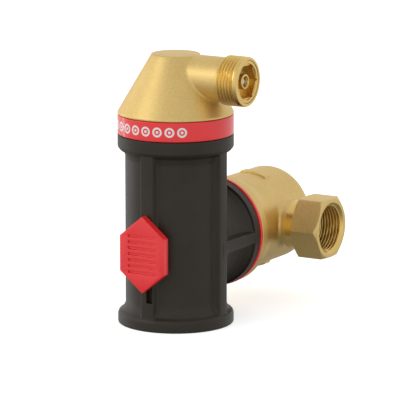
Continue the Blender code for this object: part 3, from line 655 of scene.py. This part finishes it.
clipSizes = {
    "width": 27.0, "height": 41.0, "thick": 4.5, "back": 29.9,
    "lineCount": 7, "lineFirst": 9.6, "lineStep": 3.2, "lineLength": 17.0, "lineWidth": 1.3,
    "lineDepth": 1.2, "lineTilt": 0.0,
}


def makeClip():
    # grip plate with pointed ends and carved grip lines
    s = clipSizes
    halfW, halfH = s["width"] / 2, s["height"] / 2
    shoulder = halfH * 0.46
    outline = [(0, halfH), (-halfW, shoulder), (-halfW, -shoulder), (0, -halfH), (halfW, -shoulder),
        (halfW, shoulder)]
    shape = bmesh.new()
    back = place["housingY"] - s["back"]
    rims = []
    for depth in (0.0, s["thick"]):
        rims.append([shape.verts.new((x * mm, (back - depth) * mm, z * mm)) for x, z in outline])
    shape.faces.new(rims[0])
    shape.faces.new(rims[1][::-1])
    for i in range(6):
        j = (i + 1) % 6
        shape.faces.new((rims[0][i], rims[1][i], rims[1][j], rims[0][j]))
    bmesh.ops.recalc_face_normals(shape, faces=shape.faces)
    plate = objectFrom("frontClipPlate", shape)
    tongue = block("tongue", (3.1, 4.4, 18.8),
        (housingSizes["slotX"], place["housingY"] - 29.1, atHeight(35.6)))
    merge(plate, "UNION", tongue)
    bars = block("gripBars", (1, 1, 1), (0, 0, 0))
    face = back - s["thick"]
    applyNodes(bars, gripLines(), {
        "Count": s["lineCount"], "First": [0.0, face * mm, s["lineFirst"] * mm],
        "Step": [0.0, 0.0, -s["lineStep"] * mm],
        "Bar Size": [s["lineLength"] * mm, 2 * s["lineDepth"] * mm, s["lineWidth"] * mm],
        "Turn": [0.0, s["lineTilt"], 0.0],
        "Material": redPlastic})
    merge(plate, "DIFFERENCE", bars)
    bevel = plate.modifiers.new("edge", "BEVEL")
    bevel.width = 0.22 * mm
    bevel.segments = 2
    bevel.limit_method = "ANGLE"
    bake(plate)
    finishPiece(plate, "housing", "red_plastic", redPlastic, "front_clip")


makeBand()
makeSwivelRing()
makeClip()
print("red pieces made")


# vent cap, its threaded outlet and the plug inside it

capSizes = {
    "top": 144.0, "topRadius": 12.66, "coneFoot": 113.3, "lip": 112.4, "radius": 30.65, "wall": 3.25,
    "neck": 11.9, "threadStart": 31.3, "end": 43.8, "minor": 12.06, "depth": 1.16, "pitch": 1.814,
    "blend": 0.8,
}


def makeCap():
    s = capSizes
    slope = (s["radius"] - s["topRadius"]) / (s["top"] - s["coneFoot"])
    coneAt = lambda z: s["radius"] - slope * (z - s["coneFoot"])
    shell = turned("ventCapShell", [
        (0, s["top"]), (s["topRadius"], s["top"], 0.9), (s["radius"], s["coneFoot"], 0.7),
        (s["radius"], s["lip"], 0.25),
        (24.6, s["lip"]), (24.6, 107.2), (22.9, 107.2), (22.9, 104.8), (24.6, 104.8), (24.6, 99.4),
        (23.8, 99.4),
        (23.8, 97.4), (24.6, 97.4), (24.6, 94.5), (0, 94.5)], 192, 1.2)
    lay(shell, "Z", y=place["housingY"], z=place["footZ"])
    where = {"y": place["housingY"], "z": atHeight(place["outletHeight"])}
    spigot = turned("outletSpigot", [
        (0, s["end"]), (12.9, s["end"], 0.45), (13.15, 42.2, 0.5), (13.15, 41.6, 0.3),
        (s["minor"], 41.2, 0.3), (s["minor"], s["threadStart"], 0.3),
        (s["neck"], 30.9, 0.3), (s["neck"], 6.0), (0, 6.0)], 144, 0.7)
    fuse(shell, lay(spigot, "X", **where), s["blend"])
    thread = turned("outletThread", [
        (0, 41.9), (s["minor"] - 0.3, 41.9), (s["minor"] - 0.02, 41.6), (s["minor"] - 0.02, 30.9),
        (s["minor"] - 0.4, 30.6), (0, 30.6)], 144, 0.18)
    applyRule(thread, screwThread, castBrass, **{
        "Pitch": s["pitch"], "Depth": s["depth"], "Start": 30.7, "End": 41.9, "Run In": 1.2, "Run Out": 0.6,
        "Inner Radius": s["minor"] - 0.2})
    merge(shell, "UNION", lay(thread, "X", **where))
    hollow = turned("hollow", [
        (0, 140.8), (coneAt(140.0) - s["wall"] - 1.5, 140.8), (coneAt(139.4) - s["wall"], 139.4),
        (21.5, 123.5), (21.5, 80.0), (0, 80.0)], 96, 40.0)
    lay(hollow, "Z", y=place["housingY"], z=place["footZ"])
    bore = turned("bore", [
        (0, 50.0), (11.38, 50.0), (11.38, 34.0), (7.0, 34.0), (7.0, 6.0), (0, 6.0)], 96, 40.0)
    merge(shell, "DIFFERENCE", hollow, lay(bore, "X", **where))
    return finishPiece(shell, "cap", "cast_brass", castBrass, "vent_cap", angle=34.0)


def makeOutletPlug():
    where = {"y": place["housingY"], "z": atHeight(place["outletHeight"])}
    plug = turned("outletPlug", [
        (0, 43.55), (11.3, 43.55, 0.25), (11.3, 34.3), (6.7, 34.3), (6.7, 28.0), (5.1, 28.0), (5.1, 26.0),
        (6.7, 26.0),
        (6.7, 12.9), (3.2, 12.9), (1.9, 10.0), (0, 10.0)], 128, 8.0)
    socket = prism("socket", 6, 17.0, 38.9, 46.0)
    mouth = turned("mouth", [(0, 46.0), (10.6, 46.0), (9.3, 42.9), (0, 42.9)], 96, 8.0)
    merge(plug, "DIFFERENCE", socket, mouth)
    nozzle = turned("nozzle", [(0, 42.4), (4.15, 42.4, 0.6), (4.15, 36.5), (0, 36.5)], 64, 8.0)
    merge(plug, "UNION", nozzle)
    passage = turned("passage", [
        (0, 43.4), (3.6, 43.4), (2.7, 41.9), (2.7, 35.6), (1.5, 35.6), (1.5, 12.5), (0.8, 12.0),
        (0.8, 9.0), (0, 9.0)], 64, 8.0)
    merge(plug, "DIFFERENCE", passage)
    lay(plug, "X", **where)
    return finishPiece(plug, "cap", "turned_brass", turnedBrass, "valve_insert")


makeCap()
makeOutletPlug()
print("vent cap made")


# tee: drum, two hexagon ports and their threads

teeSizes = {
    "flange": 29.8, "drum": 25.8, "back": 24.8, "front": -35.8, "portEnd": 51.8, "neck": 12.2, "collar": 13.5,
    "collarStart": 28.0, "hexStart": 35.7, "flats": 32.0, "socket": 22.0, "chamber": 18.0, "bore": 10.0,
    "blend": 2.4,
}


def makeTee():
    s = teeSizes
    casting = turned("teeCasting", [
        (0, s["back"]), (s["drum"], s["back"], 3.0), (s["drum"], -19.0, 8.0), (27.4, -27.0, 6.0),
        (s["flange"], -30.4, 1.5),
        (s["flange"], s["front"], 0.5), (0, s["front"])], 192, 1.4)
    lay(casting, "Y")
    for side in (1, -1):
        pad = turned("pad", [
            (23.0, -1.2), (26.8, -1.2, 0.25), (26.8, 4.6, 0.3), (23.0, 4.6)], 192, 1.0, ring=True)
        lay(pad, "Y")
        merge(pad, "INTERSECT", block("padEdge", (15.6, 20.0, 20.0), (3.2, 1.7, side * s["drum"])))
        fuse(casting, pad, 0.35)
    for along in ("X", "-X"):
        port = turned("port", [
            (0, s["portEnd"]), (16.1, s["portEnd"], 0.3), (19.2, 50.1, 0.5), (19.2, 36.9, 0.5),
            (16.6, s["hexStart"], 0.4),
            (s["collar"], s["hexStart"], 0.4), (s["collar"], s["collarStart"], 0.45),
            (s["neck"], s["collarStart"] - 0.5, 0.3),
            (s["neck"], 6.0), (0, 6.0)], 180, 0.9)
        applyRule(port, flats, castBrass, Flats=s["flats"])
        fuse(casting, lay(port, along), s["blend"])
    cavity = turned("cavity", [
        (0, 20.6), (16.0, 20.6), (s["chamber"], 18.6), (s["chamber"], -13.5), (s["socket"], -13.5),
        (s["socket"], -30.4),
        (22.9, -30.4), (22.9, -32.6), (s["socket"], -32.6), (s["socket"], -60.0), (0, -60.0)], 128, 60.0)
    merge(casting, "DIFFERENCE", lay(cavity, "Y"))
    for along in ("X", "-X"):
        mouth = turned("mouth", [
            (0, 54.0), (16.2, 54.0), (12.6, 50.4), (12.06, 50.4), (12.06, 38.2),
            (s["bore"], 36.4), (s["bore"], 0), (0, 0)], 144, 30.0)
        merge(casting, "DIFFERENCE", lay(mouth, along))
        thread = turned("portThread", [
            (0, 52.4), (11.7, 52.4), (12.0, 52.1), (12.0, 38.4), (11.7, 38.1), (0, 38.1)], 144, 0.18)
        applyRule(thread, screwThread, castBrass, **{
            "Start": 38.4, "End": 54.0, "Run In": 1.4, "Run Out": 0.2, "Inner Radius": 11.9, "Depth": 1.2})
        merge(casting, "DIFFERENCE", lay(thread, along))
    return finishPiece(casting, "tee", "cast_brass", castBrass, "tee_body", angle=34.0)


makeTee()
print("tee made")


# inner CAD pieces keep their shape and get a finish

springSizes = {"low": 36.2, "high": 39.3, "coil": 1.95, "wire": 0.22, "turns": 4.0, "pressed": 0.66}


def coilTree():
    # a round wire swept along a coil
    group = bpy.data.node_groups.new("coil", "GeometryNodeTree")
    group.interface.new_socket("Geometry", in_out="OUTPUT", socket_type="NodeSocketGeometry")
    labels = ["Turns", "Coil Radius", "Height", "Wire Radius"]
    for label in labels:
        group.interface.new_socket(label, in_out="INPUT", socket_type="NodeSocketFloat")
    group.interface.new_socket("Material", in_out="INPUT", socket_type="NodeSocketMaterial")
    tree = Tree(group)
    source, sink = group.nodes.new("NodeGroupInput"), group.nodes.new("NodeGroupOutput")
    given = {label: Field(tree, source.outputs[label]) for label in [*labels, "Material"]}
    coil = tree.add("GeometryNodeCurveSpiral", None, {
        "Resolution": 40, "Rotations": given["Turns"], "Start Radius": given["Coil Radius"],
        "End Radius": given["Coil Radius"], "Height": given["Height"]})
    wire = tree.add("GeometryNodeCurvePrimitiveCircle", None,
        {"Resolution": 12, "Radius": given["Wire Radius"]})
    swept = tree.add("GeometryNodeCurveToMesh", None,
        {"Curve": coil, "Profile Curve": wire, "Fill Caps": True})
    real = tree.add("GeometryNodeRealizeInstances", None, [swept])
    skin = tree.add("GeometryNodeSetMaterial", None, {"Geometry": real, "Material": given["Material"]})
    group.links.new(skin.socket, sink.inputs[0])
    return group


def makeSpring():
    s = springSizes
    where = {"y": place["housingY"], "z": atHeight(place["outletHeight"])}
    spring = block("checkSpringCoil", (1, 1, 1), (0, 0, 0))
    applyNodes(spring, coilTree(), {
        "Turns": s["turns"], "Coil Radius": s["coil"] * mm, "Height": (s["high"] - s["low"]) * mm,
        "Wire Radius": s["wire"] * mm, "Material": springSteel})
    lay(spring, "X", x=s["low"], **where)
    finishPiece(spring, "cap", "spring_steel", springSteel, "check_spring", angle=60.0)
    anchor = ((s["low"] - s["wire"]) * mm, place["housingY"] * mm, where["z"] * mm)
    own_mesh(spring)


makeSpring()

innerFinishes = {
    "flow_guide": palePlastic, "retaining_ring": springSteel, "swivel_seal_front": sealRubber,
    "swivel_seal_rear": sealRubber, "separator_core": palePlastic, "cap_seal": sealRubber,
    "cap_clip": springSteel,
    "insert_seal": sealRubber, "check_pin": springSteel, "lever_bracket": springSteel,
    "lever_pin": springSteel, "valve_lever": palePlastic, "seat_disc": sealRubber, "float": floatPlastic,
    "link_pin": springSteel, "float_guide": palePlastic,
}
innerFinishes.update({f"separator_disc_{i}": palePlastic for i in range(1, 6)})
for nodeName, material in innerFinishes.items():
    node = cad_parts[nodeName]
    for materialSlot in node.material_slots:
        materialSlot.material = material


# studio: camera, floor, sky and lamps

studio = {
    "azimuth": 30.8, "elevation": 11.37, "distance": 1715.3, "target": (11.0, -70.65, 23.54), "lens": 291.8,
    "floorGlow": 0.55, "leftGain": 0.02, "behindGain": 0.08,
    "levels": [(0.0, 0.17), (0.2, 0.35), (0.36, 0.70), (0.5, 0.87), (0.7, 0.80), (1.0, 0.70)],
    "lamps": {
        "keyLight": ((-0.9, -1.1, 0.75), (0.8, 0.8), 3.4),
        "sideLight": ((-1.3, -0.02, 0.1), (0.14, 0.9), 1.1),
    },
}


def studioSky(tree):
    # soft room light: bright overhead, brighter on the left and behind, dim below
    s = studio
    turn = math.radians(s["azimuth"])
    split = tree.add("ShaderNodeSeparateXYZ", None, [tree.add("ShaderNodeTexCoord")]).socket.node
    x, y, z = (Field(tree, split.outputs[i]) for i in range(3))
    left = x * -math.cos(turn) + y * -math.sin(turn)
    behind = (x * -math.sin(turn) + y * math.cos(turn)).math("MAXIMUM", 0.0)
    level = tree.add("ShaderNodeFloatCurve", {"curve": s["levels"]}, [1.0, z * 0.5 + 0.5])
    light = level + left * s["leftGain"] + behind * s["behindGain"]
    toCamera = tree.add("ShaderNodeLightPath")
    return light * (1.0 - toCamera) + toCamera


def makeStudio():
    s = studio
    az, el = math.radians(s["azimuth"]), math.radians(s["elevation"])
    back = Vector((math.sin(az) * math.cos(el), -math.cos(az) * math.cos(el), math.sin(el)))
    camera = bpy.data.objects.new("camera", bpy.data.cameras.new("camera"))
    camera.data.lens = s["lens"]
    camera.data.sensor_width = 36.0
    camera.data.clip_end = 20.0
    camera.location = (Vector(s["target"]) + back * s["distance"]) * mm
    camera.rotation_euler = back.to_track_quat("Z", "Y").to_euler()
    bpy.context.scene.collection.objects.link(camera)
    bpy.context.scene.camera = camera
    floor = block("floor", (6000, 6000, 2.0), (0, 0, place["footZ"] - 1.05))
    material, tree, shader = newMaterial("studio floor")
    shader.inputs["Base Color"].default_value = (0.9, 0.9, 0.9, 1)
    shader.inputs["Roughness"].default_value = 0.9
    shader.inputs["Specular IOR Level"].default_value = 0.0
    shader.inputs["Emission Color"].default_value = (1, 1, 1, 1)
    shader.inputs["Emission Strength"].default_value = s["floorGlow"]
    floor.data.materials.append(material)
    floor.visible_diffuse = False
    floor.visible_glossy = False
    floor.visible_shadow = False
    bpy.context.scene.view_settings.view_transform = "Standard"
    world = bpy.data.worlds.new("studio")
    bpy.context.scene.world = world
    world.use_nodes = True
    tree = Tree(world.node_tree)
    world.node_tree.links.new(studioSky(tree).socket, world.node_tree.nodes["Background"].inputs["Strength"])
    world.node_tree.nodes["Background"].inputs["Color"].default_value = (1.0, 1.0, 1.0, 1)
    for name, (position, size, power) in s["lamps"].items():
        data = bpy.data.lights.new(name, "AREA")
        data.shape = "RECTANGLE"
        data.size, data.size_y = size
        data.energy = power
        lamp = bpy.data.objects.new(name, data)
        lamp.location = position
        aim = Vector(position) - Vector((0.0, -0.06, 0.03))
        lamp.rotation_euler = aim.to_track_quat("Z", "Y").to_euler()
        bpy.context.scene.collection.objects.link(lamp)


makeStudio()
print("studio ready")
